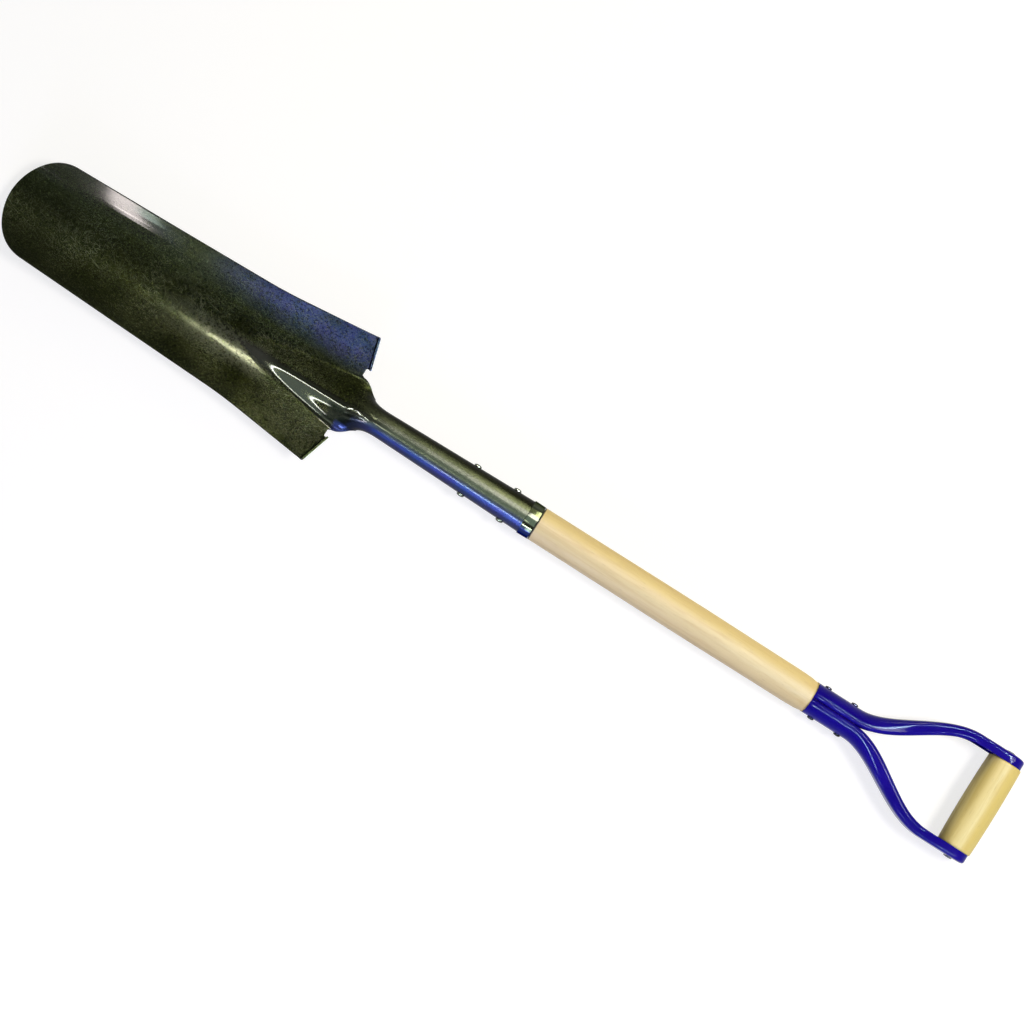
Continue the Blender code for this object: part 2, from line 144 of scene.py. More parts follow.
# Rivets
SHANK_RADIUS = 0.0024
SOCKET_RIVETS = {"socket_rivet_lower": 0.5611, "socket_rivet_upper": 0.6091}
YOKE_RIVETS = {"yoke_rivet_lower": 0.9892, "yoke_rivet_upper": 1.0212}
SOCKET_HEAD = {"radius": 0.0042, "rise": 0.0017}
YOKE_HEAD = {"radius": 0.0038, "rise": 0.0013}
GRIP_HEAD = {"radius": 0.0048, "rise": 0.0007}
HEAD_RIM = 0.0005

# Fineness of the meshes
TIP_START_ANGLE = 14
TIP_ROWS = 22
PAN_ROWS = 64
FROG_ROWS = 56
SHOULDER_ROWS = 10
LAST_PAN_ROW = 0.393
THROAT_COLUMNS = 30
NOTCH_COLUMNS = 6
WING_COLUMNS = 20
STEP_ROWS = 8
FLANGE_ROWS = 4
THROAT_ROWS = 26
SOCKET_ROWS = 40
TURNED_SIDES = 72
RIVET_SIDES = 36
DOME_RINGS = 9
DOME_START = 0.35
CORNER_STEPS = 4
BARREL_RINGS = 40
YOKE_SOCKET_ROWS = 16
YOKE_ARM_ROWS = 60
YOKE_CUP_ROWS = 28
YOKE_END_ROWS = 36
PROFILE_STEPS = 18
LIP_STEPS = 8
BLADE_RIM = 0.0003
YOKE_RIM = 0.0001
RIM_SEGMENTS = 3
RIM_ANGLE = radians(60)
SHARP_ANGLE = radians(42)
MERGE_DISTANCE = 0.00001

# Camera and studio
CAMERA_TARGET = (0.0139, -0.0038, 0.0194)
CAMERA_DISTANCE = 2.218
CAMERA_TURN = radians(32.44)
CAMERA_TILT = radians(3.5)
CAMERA_LENS = 75.6
FLOOR_SIZE = 60.0
FLOOR_GLOW = 0.76
AMBIENT = 0.18

# Steel finish: splay of the frog's side, and soft edges of areas, from absent to full
FROG_SPLAY = 0.2
FROG_START = (0.27, 0.30)
FROG_SIDE = (-0.0495, -0.0515)
FROG_RIGHT = (0.001, -0.003)
GLOSS_FRONT = (0.401, 0.394)
GLOSS_RIDGE = (0.010, 0.006)
GLOSS_FOOT_ACROSS = (-0.0235, -0.0260)
GLOSS_FOOT_ALONG = (0.413, 0.409)
HOLLOW_END = (0.440, 0.425)
SOCKET_COLOUR = (0.41, 0.45)
SOCKET_MATT = (0.42, 0.46)
SOCKET_GLOSS = (0.435, 0.470)
SOCKET_SHADE = (0.0065, 0.0110)
POLISH_ACROSS = (-0.004, -0.007)
WING_ACROSS = (0.028, 0.052)
WING_ALONG = (0.20, 0.32)
FLANK_BLUE_ACROSS = (-0.004, -0.010)
FLANK_BLUE_ALONG = (0.422, 0.450)
NOTCH_BLUE_ALONG = (0.409, 0.414)
TIP_SHADE_ALONG = (0.30, 0.06)
CORNER_SHADE_ALONG = (0.33, 0.37)
CORNER_SHADE_ACROSS = (-0.028, -0.045)
SMOOTH_ALONG = (0.08, 0.26)
GLAZE_ACROSS = (0.030, 0.035)
GLAZE_ALONG = (0.19, 0.14)
COLLAR_REFLECTION_ACROSS = (-0.0125, -0.0140)

# Steel finish: bands with two soft edges, and how dark the painted shades are
STREAK_ALONG = (0.190, 0.265, 0.305, 0.330)
STREAK_ACROSS = (-0.034, -0.022, -0.004, 0.006)
NOTCH_BLUE_ACROSS = (-0.037, -0.033, -0.024, -0.020)
POOL_ALONG = (0.17, 0.21, 0.34, 0.40)
POOL_ACROSS = (-0.002, 0.008, 0.038, 0.052)
TIP_SHADE = 0.65
POOL_SHADE = 0.38
CORNER_SHADE = 0.32

# Colours
PAN_DARK = (0.006, 0.009, 0.0015)
PAN_PALE = (0.014, 0.017, 0.0035)
SOCKET_DARK = (0.050, 0.058, 0.038)
SOCKET_PALE = (0.070, 0.078, 0.052)
SOCKET_SIDE_SHADE = (0.010, 0.011, 0.004)
STREAK_HIGHLIGHT = (0.070, 0.073, 0.058)
HOLLOW_SHADE_COLOUR = (0.001, 0.002, 0.003)
WING_BLUES = ((0.017, 0.031, 0.085), (0.024, 0.024, 0.088))
FLANK_BLUES = ((0.020, 0.036, 0.110), (0.026, 0.030, 0.110))
PIT_AND_SHADE = (0.002, 0.003, 0.001)
SPECK = (0.070, 0.084, 0.028)
BLUE_SPECK = (0.045, 0.058, 0.120)
HAIR = (0.130, 0.142, 0.085)
COLLAR_BLUE_REFLECTION = (0.020, 0.030, 0.120)
COLLAR_STEEL = (0.070, 0.080, 0.052)
RIVET_STEEL = (0.20, 0.22, 0.18)
DARK_RIVET = (0.045, 0.045, 0.065)
PAINT_BLUES = ((0.007, 0.0025, 0.25), (0.012, 0.0045, 0.31))
PAINT_DUST = (0.03, 0.03, 0.34)
ASH_PALE = (0.80, 0.645, 0.325)
ASH_DARK = (0.60, 0.42, 0.17)
GRIP_PALE = (0.79, 0.65, 0.225)
GRIP_DARK = (0.64, 0.47, 0.09)
JOINT_SHADE_DARK = (0.03, 0.025, 0.015)
FLOOR_GREY = (0.35, 0.35, 0.35, 1.0)
WORLD_WHITE = (1.0, 1.0, 1.0, 1.0)


def mix(start, end, share):
    """Value at a share of the way from start to end."""
    return start + (end - start) * share


def share_between(value, start, end):
    """How far a value lies from start to end, held to 0 and 1."""
    return min(1.0, max(0.0, (value - start) / (end - start)))


def ease(value, start, end):
    """Like share_between, but leaving 0 and reaching 1 smoothly."""
    share = share_between(value, start, end)
    return share * share * (3.0 - 2.0 * share)


def soft_ramp(value, reach):
    """0 below -reach, value above +reach, and a parabola between."""
    if value <= -reach:
        return 0.0
    if value >= reach:
        return value
    return (value + reach) ** 2 / (4.0 * reach)


def sheet_shape(points):
    """Faces over a grid of points, keyed by row and column, wherever four neighbours exist."""
    shape = bmesh.new()
    corners = {place: shape.verts.new(point) for place, point in points.items()}
    for row, column in points:
        square = [(row, column), (row + 1, column), (row + 1, column + 1), (row, column + 1)]
        if all(place in corners for place in square):
            shape.faces.new([corners[place] for place in square])
    return shape


def lofted_shape(rings, looped=False):
    """Skin over rings of points, with its ends capped, or joined to each other when looped."""
    shape = bmesh.new()
    loops = [[shape.verts.new(point) for point in ring] for ring in rings]
    pairs = list(zip(loops, loops[1:]))
    if looped:
        pairs.append((loops[-1], loops[0]))
    for near, far in pairs:
        for side in range(len(near)):
            following = (side + 1) % len(near)
            shape.faces.new((near[side], near[following], far[following], far[side]))
    if not looped:
        shape.faces.new(loops[0])
        shape.faces.new(loops[-1])
    return shape


def ring_round_x(along, radius, sides=TURNED_SIDES):
    """A circle of points about the shaft's axis."""
    angles = [2.0 * pi * side / sides for side in range(sides)]
    return [Vector((along, radius * cos(angle), radius * sin(angle))) for angle in angles]


def ring_round_y(along, across, radius, sides=TURNED_SIDES):
    """A circle of points about a line across the tool."""
    angles = [2.0 * pi * side / sides for side in range(sides)]
    return [Vector((along + radius * cos(angle), across, radius * sin(angle))) for angle in angles]


def rounded_corner(place, radius, rounding, facing):
    """Profile points over a turned edge; facing is -1 where it starts a body and 1 where it ends one."""
    points = []
    for count in range(CORNER_STEPS + 1):
        angle = pi / 2.0 * count / CORNER_STEPS
        along = place - facing * rounding * (1.0 - sin(angle))
        points.append((along, radius - rounding * (1.0 - cos(angle))))
    return points if facing > 0 else points[::-1]


def add_piece(node, shape, finish, sheet=0.0, rim=0.0):
    """Turn a bmesh into a smooth piece that stands for a node, as a sheet with rounded rims if asked."""
    bmesh.ops.recalc_face_normals(shape, faces=shape.faces)
    mesh = bpy.data.meshes.new("fine_" + node)
    shape.to_mesh(mesh)
    shape.free()
    piece = bpy.data.objects.new("fine_" + node, mesh)
    bpy.context.scene.collection.objects.link(piece)
    if sheet:
        thicken(piece, sheet, rim)
    piece.data.shade_smooth()
    piece.data.set_sharp_from_angle(angle=SHARP_ANGLE)
    piece.data.materials.append(finish)
    piece.location = TOOL_ORIGIN
    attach(piece, "root")
    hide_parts(node)


def thicken(piece, thickness, rounding):
    """Give a sheet its thickness, half to each side, and rounded rims."""
    sheet = piece.modifiers.new("sheet", 'SOLIDIFY')
    sheet.thickness = thickness
    sheet.offset = 0.0
    sheet.use_even_offset = True
    sheet.use_quality_normals = True
    rim = piece.modifiers.new("rim", 'BEVEL')
    rim.width = rounding
    rim.segments = RIM_SEGMENTS
    rim.limit_method = 'ANGLE'
    rim.angle_limit = RIM_ANGLE
    bpy.context.view_layer.update()
    result = bpy.data.meshes.new_from_object(piece.evaluated_get(bpy.context.evaluated_depsgraph_get()))
    plain = piece.data
    piece.modifiers.clear()
    piece.data = result
    bpy.data.meshes.remove(plain)


def trough_half_width(along):
    """Half-width of the dish, as if the tip weren't rounded."""
    flare = FLARE_TAPER * soft_ramp(along - FLARE_AT, FLARE_EASE)
    return TIP_HALF_WIDTH + PAN_TAPER * max(0.0, along - TIP_DEPTH) + flare


def outline_half_width(along):
    """Half-width of the blade, with its half-elliptic tip."""
    if along >= TIP_DEPTH:
        return trough_half_width(along)
    return TIP_HALF_WIDTH * sqrt(1.0 - (1.0 - along / TIP_DEPTH) ** 2)


def bow_height(along):
    """Height of the dish's middle line."""
    return BELLY_HEIGHT + (along - BELLY_AT) ** 2 / (2.0 * BOW_RADIUS)


def frog_height(along, across):
    """Height of the frog above the dish: a straight ridge from nose to neck, with hollow flanks."""
    toe = NOSE_AT - NOSE_EASE
    if along <= toe:
        return 0.0
    slope = (NECK_RADIUS - BLADE_SHEET / 2.0 - bow_height(NECK_AT)) / (NECK_AT - NOSE_AT)
    rise = slope * soft_ramp(along - NOSE_AT, NOSE_EASE)
    half_width = FROG_ROOT_Y * share_between(along, toe, FROG_ROOT_AT) ** FROG_SPREAD
    return rise * max(0.0, 1.0 - (across / half_width) ** 2) ** FROG_CROWN


def pan_height(along, across):
    """Height of the middle of the blade's sheet."""
    towards_shoulder = ease(along, NOSE_AT, CORNER_AT)
    depth = mix(TROUGH_DEPTH, SHOULDER_DEPTH, towards_shoulder)
    power = mix(TROUGH_POWER, SHOULDER_POWER, towards_shoulder)
    dish = depth * (abs(across) / trough_half_width(along)) ** power
    return bow_height(along) + dish + frog_height(along, across)


def socket_radius(along):
    """Outer radius of the socket."""
    return mix(NECK_RADIUS, MOUTH_RADIUS, (along - NECK_AT) / (SOCKET_END - NECK_AT))


def throat_point(along, turn):
    """Point of the frog's throat and the socket, with turn from 0 on the ridge to 1 at the back seam."""
    radius = socket_radius(along) - BLADE_SHEET / 2.0
    angle = SEAM_ANGLE * turn
    rolled = Vector((along, radius * sin(angle), radius * cos(angle)))
    across = FROG_ROOT_Y * turn
    spread = Vector((along, across, pan_height(along, across)))
    return spread.lerp(rolled, ease(along, FROG_ROOT_AT, NECK_AT))


def pan_stations():
    """Rows of the pan: where each meets the blade's edge, and how far its middle bows towards the tip."""
    start = radians(TIP_START_ANGLE)
    full_bow = TIP_DEPTH * (1.0 - cos(start))
    stations = []
    for row in range(TIP_ROWS + 1):
        share = row / TIP_ROWS
        angle = mix(start, pi / 2.0, share)
        stations.append((TIP_DEPTH * (1.0 - cos(angle)), full_bow * (1.0 - share)))
    for row in range(1, PAN_ROWS + 1):
        stations.append((mix(TIP_DEPTH, NOSE_AT, row / PAN_ROWS), 0.0))
    for row in range(1, FROG_ROWS + 1):
        stations.append((mix(NOSE_AT, LAST_PAN_ROW, row / FROG_ROWS), 0.0))
    return stations


def step_frame():
    """Ends of the left shoulder's line, the way out of the pan there, and the way up."""
    corner_y = trough_half_width(CORNER_AT)
    inner = Vector((STEP_INNER_AT, STEP_INNER_Y, pan_height(STEP_INNER_AT, STEP_INNER_Y)))
    corner = Vector((CORNER_AT, corner_y, pan_height(CORNER_AT, corner_y)))
    line = (corner - inner).normalized()
    outward = (Vector((1.0, 0.0, 0.0)) - line * line.x).normalized()
    upward = outward.cross(line).normalized()
    return inner, corner, outward, upward


def step_rise(base, outward, upward):
    """Points up a foot step from the shoulder's line: the bend, then the flange."""
    points = []
    for row in range(1, STEP_ROWS + 1):
        angle = STEP_ANGLE * row / STEP_ROWS
        bend = outward * sin(angle) + upward * (1.0 - cos(angle))
        points.append(base + bend * STEP_BEND)
    flange = outward * cos(STEP_ANGLE) + upward * sin(STEP_ANGLE)
    top = points[-1]
    for row in range(1, FLANGE_ROWS + 1):
        points.append(top + flange * (STEP_FLANGE * row / FLANGE_ROWS))
    return points


def build_blade(finish):
    """Pan, steps, frog and socket as one sheet."""
    inner, corner, outward, upward = step_frame()
    throat = [FROG_ROOT_Y * column / THROAT_COLUMNS for column in range(THROAT_COLUMNS + 1)]
    gap = NOTCH_COLUMNS + 1
    notch = [mix(FROG_ROOT_Y, inner.y, column / gap) for column in range(1, gap)]
    wing = [mix(inner.y, corner.y, column / WING_COLUMNS) for column in range(WING_COLUMNS + 1)]
    columns = throat + notch + wing
    points = {}

    def put(row, column, point):
        points[row, column] = point
        points[row, -column] = Vector((point.x, -point.y, point.z))

    def shoulder_point(column, across):
        if column < len(throat):
            return throat_point(FROG_ROOT_AT, column / THROAT_COLUMNS)
        if column < len(throat) + len(notch):
            return Vector((NOTCH_AT, across, pan_height(NOTCH_AT, across)))
        return inner.lerp(corner, share_between(across, inner.y, corner.y))

    stations = pan_stations()
    for row, (edge, bow) in enumerate(stations):
        for column, place in enumerate(columns):
            share = place / corner.y
            along = edge - bow * (1.0 - share * share)
            across = outline_half_width(edge) * share
            put(row, column, Vector((along, across, pan_height(along, across))))

    last = len(stations) - 1
    shoulder = last + SHOULDER_ROWS
    for column, across in enumerate(columns):
        near = points[last, column]
        far = shoulder_point(column, across)
        lift = far.z - pan_height(far.x, far.y)
        for row in range(1, SHOULDER_ROWS + 1):
            share = row / SHOULDER_ROWS
            x, y = mix(near.x, far.x, share), mix(near.y, far.y, share)
            put(last + row, column, Vector((x, y, pan_height(x, y) + lift * share * share)))
        if column >= len(throat) + len(notch):
            for row, point in enumerate(step_rise(far, outward, upward)):
                put(shoulder + 1 + row, column, point)

    rolled = [mix(FROG_ROOT_AT, NECK_AT, row / THROAT_ROWS) for row in range(1, THROAT_ROWS + 1)]
    rolled += [mix(NECK_AT, SOCKET_END, row / SOCKET_ROWS) for row in range(1, SOCKET_ROWS + 1)]
    for row, along in enumerate(rolled):
        for column in range(THROAT_COLUMNS + 1):
            put(shoulder + 1 + row, column, throat_point(along, column / THROAT_COLUMNS))
    add_piece("blade", sheet_shape(points), finish, BLADE_SHEET, BLADE_RIM)


def build_collar(finish):
    """Ring with rounded edges over the mouth of the socket."""
    inside = [(along, socket_radius(along) + FIT_GAP) for along in (COLLAR_END, COLLAR_START)]
    outside = rounded_corner(COLLAR_START, COLLAR_RADIUS, COLLAR_ROUND, -1)
    outside += rounded_corner(COLLAR_END, COLLAR_RADIUS, COLLAR_ROUND, 1)[::-1]
    rings = [ring_round_x(along, radius) for along, radius in inside + outside]
    add_piece("socket_collar", lofted_shape(rings, looped=True), finish)


def shaft_radius(along):
    """Radius of the shaft between socket and yoke, which swells a little in the middle."""
    if along < SHAFT_BULGE_AT:
        return mix(SHAFT_RADIUS, SHAFT_BULGE_RADIUS, ease(along, SHAFT_SHOULDER_AT, SHAFT_BULGE_AT))
    if along < SHAFT_NECK_AT:
        return mix(SHAFT_BULGE_RADIUS, SHAFT_NECK_RADIUS, ease(along, SHAFT_BULGE_AT, SHAFT_NECK_AT))
    return mix(SHAFT_NECK_RADIUS, SHAFT_END_RADIUS, share_between(along, SHAFT_NECK_AT, SHAFT_END_AT) ** 2)


def build_shaft(finish):
    """Turned shaft with a tenon at each end."""
    wall = BLADE_SHEET + FIT_GAP
    profile = [
        (SHAFT_TIP_AT, SHAFT_TIP_RADIUS),
        (SHAFT_ROUND_AT, SHAFT_ROUND_RADIUS),
        (NECK_AT, socket_radius(NECK_AT) - wall),
        (SHAFT_SHOULDER_AT, socket_radius(SHAFT_SHOULDER_AT) - wall),
    ]
    profile += rounded_corner(SHAFT_SHOULDER_AT, SHAFT_RADIUS, SHAFT_ROUNDING, -1)
    first, last = SHAFT_SHOULDER_AT + SHAFT_ROUNDING, SHAFT_END_AT - SHAFT_ROUNDING
    for count in range(1, BARREL_RINGS):
        along = mix(first, last, count / BARREL_RINGS)
        profile.append((along, shaft_radius(along)))
    profile += rounded_corner(SHAFT_END_AT, SHAFT_END_RADIUS, SHAFT_ROUNDING, 1)[::-1]
    profile += [(SHAFT_END_AT, TENON_RADIUS), (TENON_END, TENON_RADIUS)]
    rings = [ring_round_x(along, radius) for along, radius in profile]
    add_piece("shaft", lofted_shape(rings), finish)


def arm_half_depth(along):
    """Half the depth of the yoke's channel, front to back, in the middle of its sheet."""
    thinner = ease(along, ARM_START, ARM_WAIST_AT)
    wider = ease(along, CUP_START, CUP_FULL_AT)
    waist = mix(YOKE_RADIUS - YOKE_SHEET / 2.0, ARM_HALF_DEPTH, thinner)
    return mix(waist, CUP_RADIUS - YOKE_SHEET / 2.0, wider)


def half_profile(along, width):
    """Front half of the channel's section: distance out from the lip's edge, and height."""
    power = mix(2.0, CUP_POWER, ease(along, ARM_START, CUP_START))
    curl = LIP_CURL * (1.0 - ease(along, LIP_FLAT_START, LIP_FLAT_AT))
    depth = arm_half_depth(along)
    step = LIP_LENGTH / LIP_STEPS
    bends = [curl * (count + 0.5) / LIP_STEPS for count in range(LIP_STEPS)]
    reach = sum(step * cos(bend) for bend in bends)
    flange = width - reach
    section = []
    for count in range(PROFILE_STEPS + 1):
        angle = pi / 2.0 * count / PROFILE_STEPS
        out = max(0.0, cos(angle)) ** (2.0 / power)
        section.append((reach + flange * out, depth * sin(angle) ** (2.0 / power)))
    for bend in bends:
        out, height = section[-1]
        section.append((out - step * cos(bend), height - step * sin(bend)))
    return section


def arm_section(along):
    """Left arm's section at a station: middle point, outward direction and front half profile."""
    lip_edge = YOKE_SHEET / 2.0 + YOKE_SPLIT
    socket_width = YOKE_RADIUS - YOKE_SHEET / 2.0 - lip_edge
    cup_width = CUP_OUTER_Y - YOKE_SHEET / 2.0 - CUP_INNER_Y
    width = mix(socket_width, cup_width, ease(along, ARM_TAPER_AT, ARM_END))
    near = lip_edge + socket_width / 2.0
    far = CUP_INNER_Y + cup_width / 2.0
    share = share_between(along, ARM_START, ARM_END)
    across = mix(near, far, ease(along, ARM_START, ARM_END))
    slope = 6.0 * share * (1.0 - share) * (far - near) / (ARM_END - ARM_START)
    outward = Vector((-slope, 1.0, 0.0)).normalized()
    middle = Vector((along, across, 0.0)) - outward * (width / 2.0)
    return middle, outward, half_profile(along, width)


def yoke_stations():
    """Stations of the yoke's rows, from its mouth to the grip's axis."""
    spans = (
        (YOKE_MOUTH, ARM_START, YOKE_SOCKET_ROWS),
        (ARM_START, ARM_END, YOKE_ARM_ROWS),
        (ARM_END, GRIP_AT, YOKE_CUP_ROWS),
    )
    stations = [YOKE_MOUTH]
    for start, end, count in spans:
        stations += [mix(start, end, row / count) for row in range(1, count + 1)]
    return stations


def press_crimp(point):
    """Sink a point of the left cup's front into the crimp's dent."""
    if point.z < CUP_RADIUS / 2.0:
        return
    middle = (CUP_INNER_Y + CUP_OUTER_Y) / 2.0
    distance = sqrt((point.x - CRIMP_AT) ** 2 + (point.y - middle) ** 2)
    point.z -= CRIMP_DEPTH * exp(-(distance / CRIMP_RADIUS) ** 2)


def build_yoke(node, side, finish):
    """One half of the D: half socket, curved arm, and a cup round the grip's end."""
    rows = []
    for along in yoke_stations():
        middle, outward, section = arm_section(along)
        rows.append([middle + outward * out + Vector((0.0, 0.0, height)) for out, height in section])
    back = [[Vector((point.x, point.y, -point.z)) for point in row] for row in reversed(rows)]
    middle, outward, section = arm_section(GRIP_AT)
    for row in range(1, YOKE_END_ROWS):
        angle = pi / 2.0 - pi * row / YOKE_END_ROWS
        turn = Vector((cos(angle), 0.0, sin(angle)))
        rows.append([middle + outward * out + turn * height for out, height in section])
    points = {}
    for row, line in enumerate(rows + back):
        for column, point in enumerate(line):
            press_crimp(point)
            points[row, column] = Vector((point.x, side * point.y, point.z))
    shape = sheet_shape(points)
    bmesh.ops.remove_doubles(shape, verts=shape.verts, dist=MERGE_DISTANCE)
    add_piece(node, shape, finish, YOKE_SHEET, YOKE_RIM)


def rivet_shape(along, surface, head):
    """Rivet across the tool, whose domed heads sit on the surface given by its half-width at (x, z)."""
    def head_rings(side):
        rings = []
        base = surface(along, 0.0) + FIT_GAP + HEAD_RIM
        for count in range(DOME_RINGS + 1):
            tilt = pi / 2.0 * (count + DOME_START) / (DOME_RINGS + DOME_START)
            radius = head["radius"] * sin(tilt)
            rings.append(ring_round_y(along, side * (base + head["rise"] * cos(tilt)), radius, RIVET_SIDES))
        for radius in (head["radius"], SHANK_RADIUS):
            ring = ring_round_y(along, 0.0, radius, RIVET_SIDES)
            for point in ring:
                point.y = side * (surface(point.x, point.z) + FIT_GAP)
            rings.append(ring)
        return rings

    return lofted_shape(head_rings(1.0) + head_rings(-1.0)[::-1])


def socket_side(along, height):
    """Half-width of the socket's outside."""
    return sqrt(socket_radius(along) ** 2 - height ** 2)


def yoke_side(along, height):
    """Half-width of the yoke's round socket."""
    return sqrt(YOKE_RADIUS ** 2 - height ** 2)


def cup_side(along, height):
    """Half-width over the flat ends of the cups."""
    return CUP_OUTER_Y


def build_rivets(steel, painted):
    """All five rivets."""
    for node, along in SOCKET_RIVETS.items():
        add_piece(node, rivet_shape(along, socket_side, SOCKET_HEAD), steel)
    for node, along in YOKE_RIVETS.items():
        add_piece(node, rivet_shape(along, yoke_side, YOKE_HEAD), painted)
    add_piece("grip_rivet", rivet_shape(GRIP_AT, cup_side, GRIP_HEAD), painted)


def build_grip(finish):
    """Barrel-shaped cross grip with rounded shoulders and a tenon in each cup."""
    half_length = CUP_OUTER_Y - YOKE_SHEET - FIT_GAP
    shoulder = CUP_INNER_Y - FIT_GAP
    bore = SHANK_RADIUS + FIT_GAP
    profile = [(-half_length, bore), (-half_length, GRIP_TENON_RADIUS - GRIP_CHAMFER)]
    profile += [(GRIP_CHAMFER - half_length, GRIP_TENON_RADIUS), (-shoulder, GRIP_TENON_RADIUS)]
    profile += rounded_corner(-shoulder, GRIP_SHOULDER_RADIUS, GRIP_ROUNDING, -1)
    first = GRIP_ROUNDING - shoulder
    for count in range(1, BARREL_RINGS // 2 + 1):
        across = mix(first, 0.0, count / (BARREL_RINGS // 2))
        profile.append((across, mix(GRIP_RADIUS, GRIP_SHOULDER_RADIUS, (across / shoulder) ** 2)))
    profile += [(-across, radius) for across, radius in reversed(profile[:-1])]
    rings = [ring_round_y(GRIP_AT, across, radius) for across, radius in profile]
    add_piece("grip", lofted_shape(rings, looped=True), finish)


def add_node(tree, kind, inputs=None, **settings):
    """A shader node with its settings, and its inputs set to values or linked to sockets."""
    item = tree.nodes.new(kind)
    for key, value in settings.items():
        setattr(item, key, value)
    for key, value in (inputs or {}).items():
        if isinstance(value, bpy.types.NodeSocket):
            tree.links.new(value, item.inputs[key])
        else:
            item.inputs[key].default_value = value
    return item


def start_finish(name):
    """A new material: its node tree, its Principled shader and the tool's own coordinates."""
    material = bpy.data.materials.new(name)
    material.use_nodes = True
    tree = material.node_tree
    shader = tree.nodes["Principled BSDF"]
    place = add_node(tree, 'ShaderNodeTexCoord').outputs["Object"]
    return material, tree, shader, place


def split_axes(tree, place):
    """Distance along the tool from its tip, and distance across it to the left."""
    axes = add_node(tree, 'ShaderNodeSeparateXYZ', {"Vector": place}).outputs
    return axes["X"], axes["Y"]


def stretched(tree, place, scale, turn=0.0):
    """Coordinates scaled along each axis, after a turn about z."""
    turned = add_node(tree, 'ShaderNodeMapping', {"Vector": place, "Rotation": (0.0, 0.0, turn)})
    return add_node(tree, 'ShaderNodeMapping', {"Vector": turned.outputs[0], "Scale": scale}).outputs[0]


def cloud(tree, place, scale, detail=2.0, roughness=0.5, distortion=0.0):
    """Noise from 0 to 1."""
    inputs = {
        "Vector": place,
        "Scale": scale,
        "Detail": detail,
        "Roughness": roughness,
        "Distortion": distortion,
    }
    return add_node(tree, 'ShaderNodeTexNoise', inputs).outputs[0]


def window(tree, value, low, high, bottom=0.0, top=1.0):
    """Value stretched from low..high to bottom..top, and held there."""
    inputs = {"Value": value, "From Min": low, "From Max": high, "To Min": bottom, "To Max": top}
    return add_node(tree, 'ShaderNodeMapRange', inputs, clamp=True).outputs[0]


def product(tree, *factors):
    """Values multiplied together."""
    result = factors[0]
    for factor in factors[1:]:
        result = add_node(tree, 'ShaderNodeMath', {0: result, 1: factor}, operation='MULTIPLY').outputs[0]
    return result


def greatest(tree, *values):
    """The greatest of several values."""
    result = values[0]
    for value in values[1:]:
        result = add_node(tree, 'ShaderNodeMath', {0: result, 1: value}, operation='MAXIMUM').outputs[0]
    return result


def band(tree, value, rise, full, fall, end):
    """1 from full to fall, going down to 0 at rise on one side and at end on the other."""
    return product(tree, window(tree, value, rise, full), window(tree, value, end, fall))


def blend(tree, share, first, second):
    """Colour mixed from two colours or sockets."""
    item = tree.nodes.new('ShaderNodeMix')
    item.data_type = 'RGBA'
    for key, value in {"Factor": share, "A": first, "B": second}.items():
        socket = next(entry for entry in item.inputs if entry.name == key and entry.enabled)
        if isinstance(value, bpy.types.NodeSocket):
            tree.links.new(value, socket)
        elif key == "Factor":
            socket.default_value = value
        else:
            socket.default_value = (*value, 1.0)
    return next(entry for entry in item.outputs if entry.enabled)


def mix_colour(first, second, share):
    """Colour between two colours."""
    return tuple(mix(start, end, share) for start, end in zip(first, second))


def darker(colour, share):
    """Colour with each channel multiplied by a share."""
    return tuple(channel * share for channel in colour)


def relief(tree, shader, height, depth):
    """Bump the surface by a height from 0 to 1, this many metres deep."""
    bump = add_node(tree, 'ShaderNodeBump', {"Height": height, "Distance": depth, "Strength": 1.0})
    tree.links.new(bump.outputs[0], shader.inputs["Normal"])


def scratches(tree, place, turns, length, width, low, high):
    """Thin scratch lines in several directions, from 0 to 1."""
    lines = []
    for number, turn in enumerate(turns):
        drawn_out = stretched(tree, place, (1.0 / length, 1.0 / width, 1.0 / width), turn)
        noise = cloud(tree, drawn_out, 1.0 + number * 0.13)
        lines.append(window(tree, noise, low, high))
    return greatest(tree, *lines)


def frog_masks(tree, along, across, from_middle):
    """The frog's right flank, and where it is glossy: at its front, on its ridge and along its foot."""
    splayed = {0: along, 1: -FROG_SPLAY, 2: from_middle}
    outward = add_node(tree, 'ShaderNodeMath', splayed, operation='MULTIPLY_ADD').outputs[0]
    flank = product(
        tree,
        window(tree, along, *FROG_START),
        window(tree, outward, *FROG_SIDE),
        window(tree, across, *FROG_RIGHT),
    )
    foot = product(tree, window(tree, across, *GLOSS_FOOT_ACROSS), window(tree, along, *GLOSS_FOOT_ALONG))
    front = window(tree, along, *GLOSS_FRONT)
    ridge = window(tree, from_middle, *GLOSS_RIDGE)
    return flank, greatest(tree, front, ridge, foot)


def steel_ground(tree, place, along, from_middle, streak, hollow):
    """Mottled lacquer: dark on the pan, paler on the socket with painted shade towards its sides, a painted
    highlight streak before the frog, and painted near-black shade in the frog's hollow.
    """
    mottle = window(tree, cloud(tree, place, 40.0, 6.0, 0.7), 0.34, 0.66)
    pan = blend(tree, mottle, PAN_DARK, PAN_PALE)
    socket = blend(tree, mottle, SOCKET_DARK, SOCKET_PALE)
    # Painted shade: the socket's colour darkens towards its sides.
    socket = blend(tree, window(tree, from_middle, *SOCKET_SHADE), socket, SOCKET_SIDE_SHADE)
    ground = blend(tree, window(tree, along, *SOCKET_COLOUR), pan, socket)
    # Painted highlight: paler colour along a streak down the pan's right side before the frog.
    ground = blend(tree, product(tree, streak, 0.7), ground, STREAK_HIGHLIGHT)
    # Painted shade: near black in the hollow of the frog's right flank.
    return blend(tree, product(tree, hollow, 0.8), ground, HOLLOW_SHADE_COLOUR)


